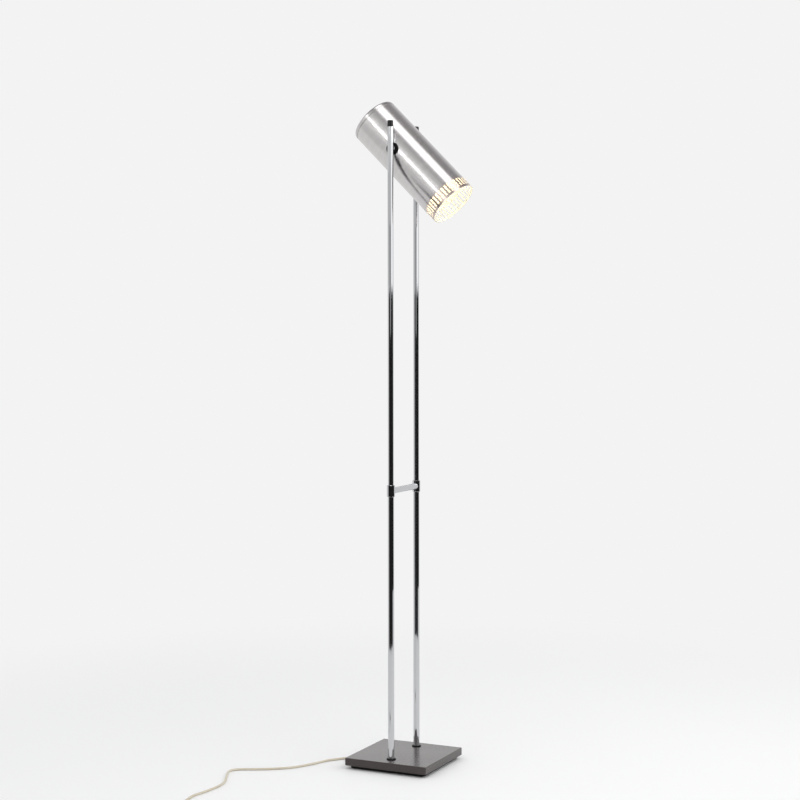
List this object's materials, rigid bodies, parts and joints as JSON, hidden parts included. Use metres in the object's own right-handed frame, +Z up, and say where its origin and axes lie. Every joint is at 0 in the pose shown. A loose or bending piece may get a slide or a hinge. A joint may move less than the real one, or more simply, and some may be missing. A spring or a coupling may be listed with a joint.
{
  "type": "telescopic floor lamp",
  "caption": "Floor lamp with twin telescoping chrome tubes on a square base plate and a tilting brushed aluminium cylinder shade slotted round its mouth.",
  "frame": {"origin": "middle of the underside of the square base, on the floor", "axes": "+Z up along the tubes, the two tubes stand side by side along Y, +X is the side that the shade's mouth points to"},
  "size_m": [0.4843, 0.6795, 1.4984],
  "materials": {
    "base_paint": "satin",
    "black_plastic": "satin",
    "black_felt": "matte",
    "chrome": "polished",
    "spun_aluminium": "brushed round the axis",
    "steel": "zinc plated",
    "brass": "plain",
    "ceramic": "glazed",
    "gold_flex": "satin",
    "frosted_glass": "frosted"
  },
  "bodies": {
    "stand": {"base_plate": "base_paint", "plinth": "black_plastic", "base_felt": "black_felt", "plinth_screws": "steel", "foot_ring_front": "black_plastic", "foot_ring_back": "black_plastic", "foot_plugs": "steel", "foot_nipples": "brass", "foot_nuts": "steel", "foot_washers": "steel", "outer_tube_front": "chrome", "outer_tube_back": "chrome", "collar_front": "chrome", "collar_back": "chrome", "friction_bush_front": "black_plastic", "friction_bush_back": "black_plastic", "crossbar": "chrome", "terminal_block": "ceramic", "cord_anchor": "black_plastic", "wiring_screws": "steel", "base_lead": "gold_flex", "cord_end": "gold_flex", "mains_cord": "gold_flex", "switch_base": "black_plastic", "switch_cover": "black_plastic", "link_cord": "gold_flex", "cord_coil": "gold_flex", "plug_cord": "gold_flex", "plug_body": "black_plastic", "plug_pins": "brass"},
    "mast": {"inner_tube_front": "chrome", "inner_tube_back": "chrome", "guide_bush_front": "black_plastic", "guide_bush_back": "black_plastic", "tube_cap_front": "black_plastic", "tube_cap_back": "black_plastic", "pivot_insert_front": "steel", "pivot_insert_back": "steel", "pivot_screw_front": "steel", "pivot_screw_back": "steel", "pivot_washers": "chrome", "spring_washers": "steel", "tube_lead": "gold_flex", "coiled_lead": "gold_flex"},
    "shade": {"shade_shell": "spun_aluminium", "shade_lid": "spun_aluminium", "pivot_disc_front": "black_plastic", "pivot_disc_back": "black_plastic", "saddle_spacers": "steel", "holder_bracket": "steel", "holder_nipple": "brass", "holder_nut": "steel", "holder_cap": "black_plastic", "holder_barrel": "black_plastic", "thread_shell": "brass", "bulb_glass": "frosted_glass", "bulb_cap": "steel", "shade_lead": "gold_flex"},
    "rocker": {"switch_rocker": "black_plastic"}
  },
  "joints": [
    {"name": "height_slide", "type": "slide", "parent": "stand", "child": "mast", "axis": [0, 0, 1], "range_m": [-0.45, 0.05], "deforming": ["coiled_lead"]},
    {"name": "shade_tilt", "type": "hinge", "parent": "mast", "child": "shade", "pos_m": [0, 0, 1.387], "axis": [0, 1, 0], "range_deg": [-100, 45]},
    {"name": "switch_rock", "type": "hinge", "parent": "stand", "child": "rocker", "pos_m": [-0.164, -0.565, 0.0132], "axis": [0, 1, 0], "range_deg": [0, 14]}
  ]
}
